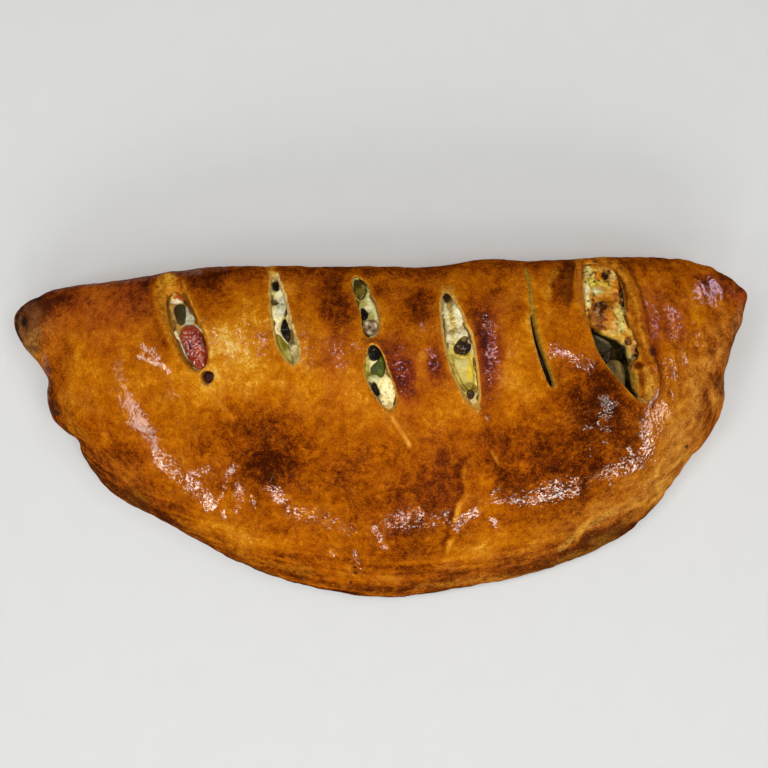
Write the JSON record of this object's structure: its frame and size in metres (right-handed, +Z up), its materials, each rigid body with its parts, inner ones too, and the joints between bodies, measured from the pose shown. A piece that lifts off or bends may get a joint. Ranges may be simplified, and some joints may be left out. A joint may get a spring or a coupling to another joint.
{
  "type": "calzone",
  "caption": "Baked calzone: a folded half moon of glossy browned dough with open slits in the top that show melted cheese, olives, peppers and sausage.",
  "frame": {"origin": "middle of the footprint of the whole calzone, on the surface it rests on", "axes": "+X along the half moon towards its blunt right end, +Y towards the fold, -Y towards the curved sealed edge, +Z up"},
  "size_m": [0.3374, 0.1605, 0.0526],
  "materials": {
    "dough_crust": "baked, egg washed, browned unevenly",
    "melted_cheese": "melted, bubbled and toasted",
    "sausage": "oily, coarse",
    "crumb": "cooked, crumbly",
    "olive": "wet skin",
    "pepper": "cooked soft, wet",
    "onion": "cooked soft, wet",
    "mushroom": "cooked soft, damp"
  },
  "bodies": {
    "root": {"crust": "dough_crust", "filling": "melted_cheese", "sausage_1": "sausage", "pepper_1": "pepper", "olive_2": "olive", "pepper_2": "pepper", "onion_2": "onion", "pepper_3": "pepper", "olive_3": "olive", "crumb_3": "crumb", "olive_4": "olive", "pepper_4": "pepper", "olive_5": "olive", "pepper_5": "pepper", "onion_7": "onion", "mushroom_7": "mushroom"}
  },
  "joints": []
}
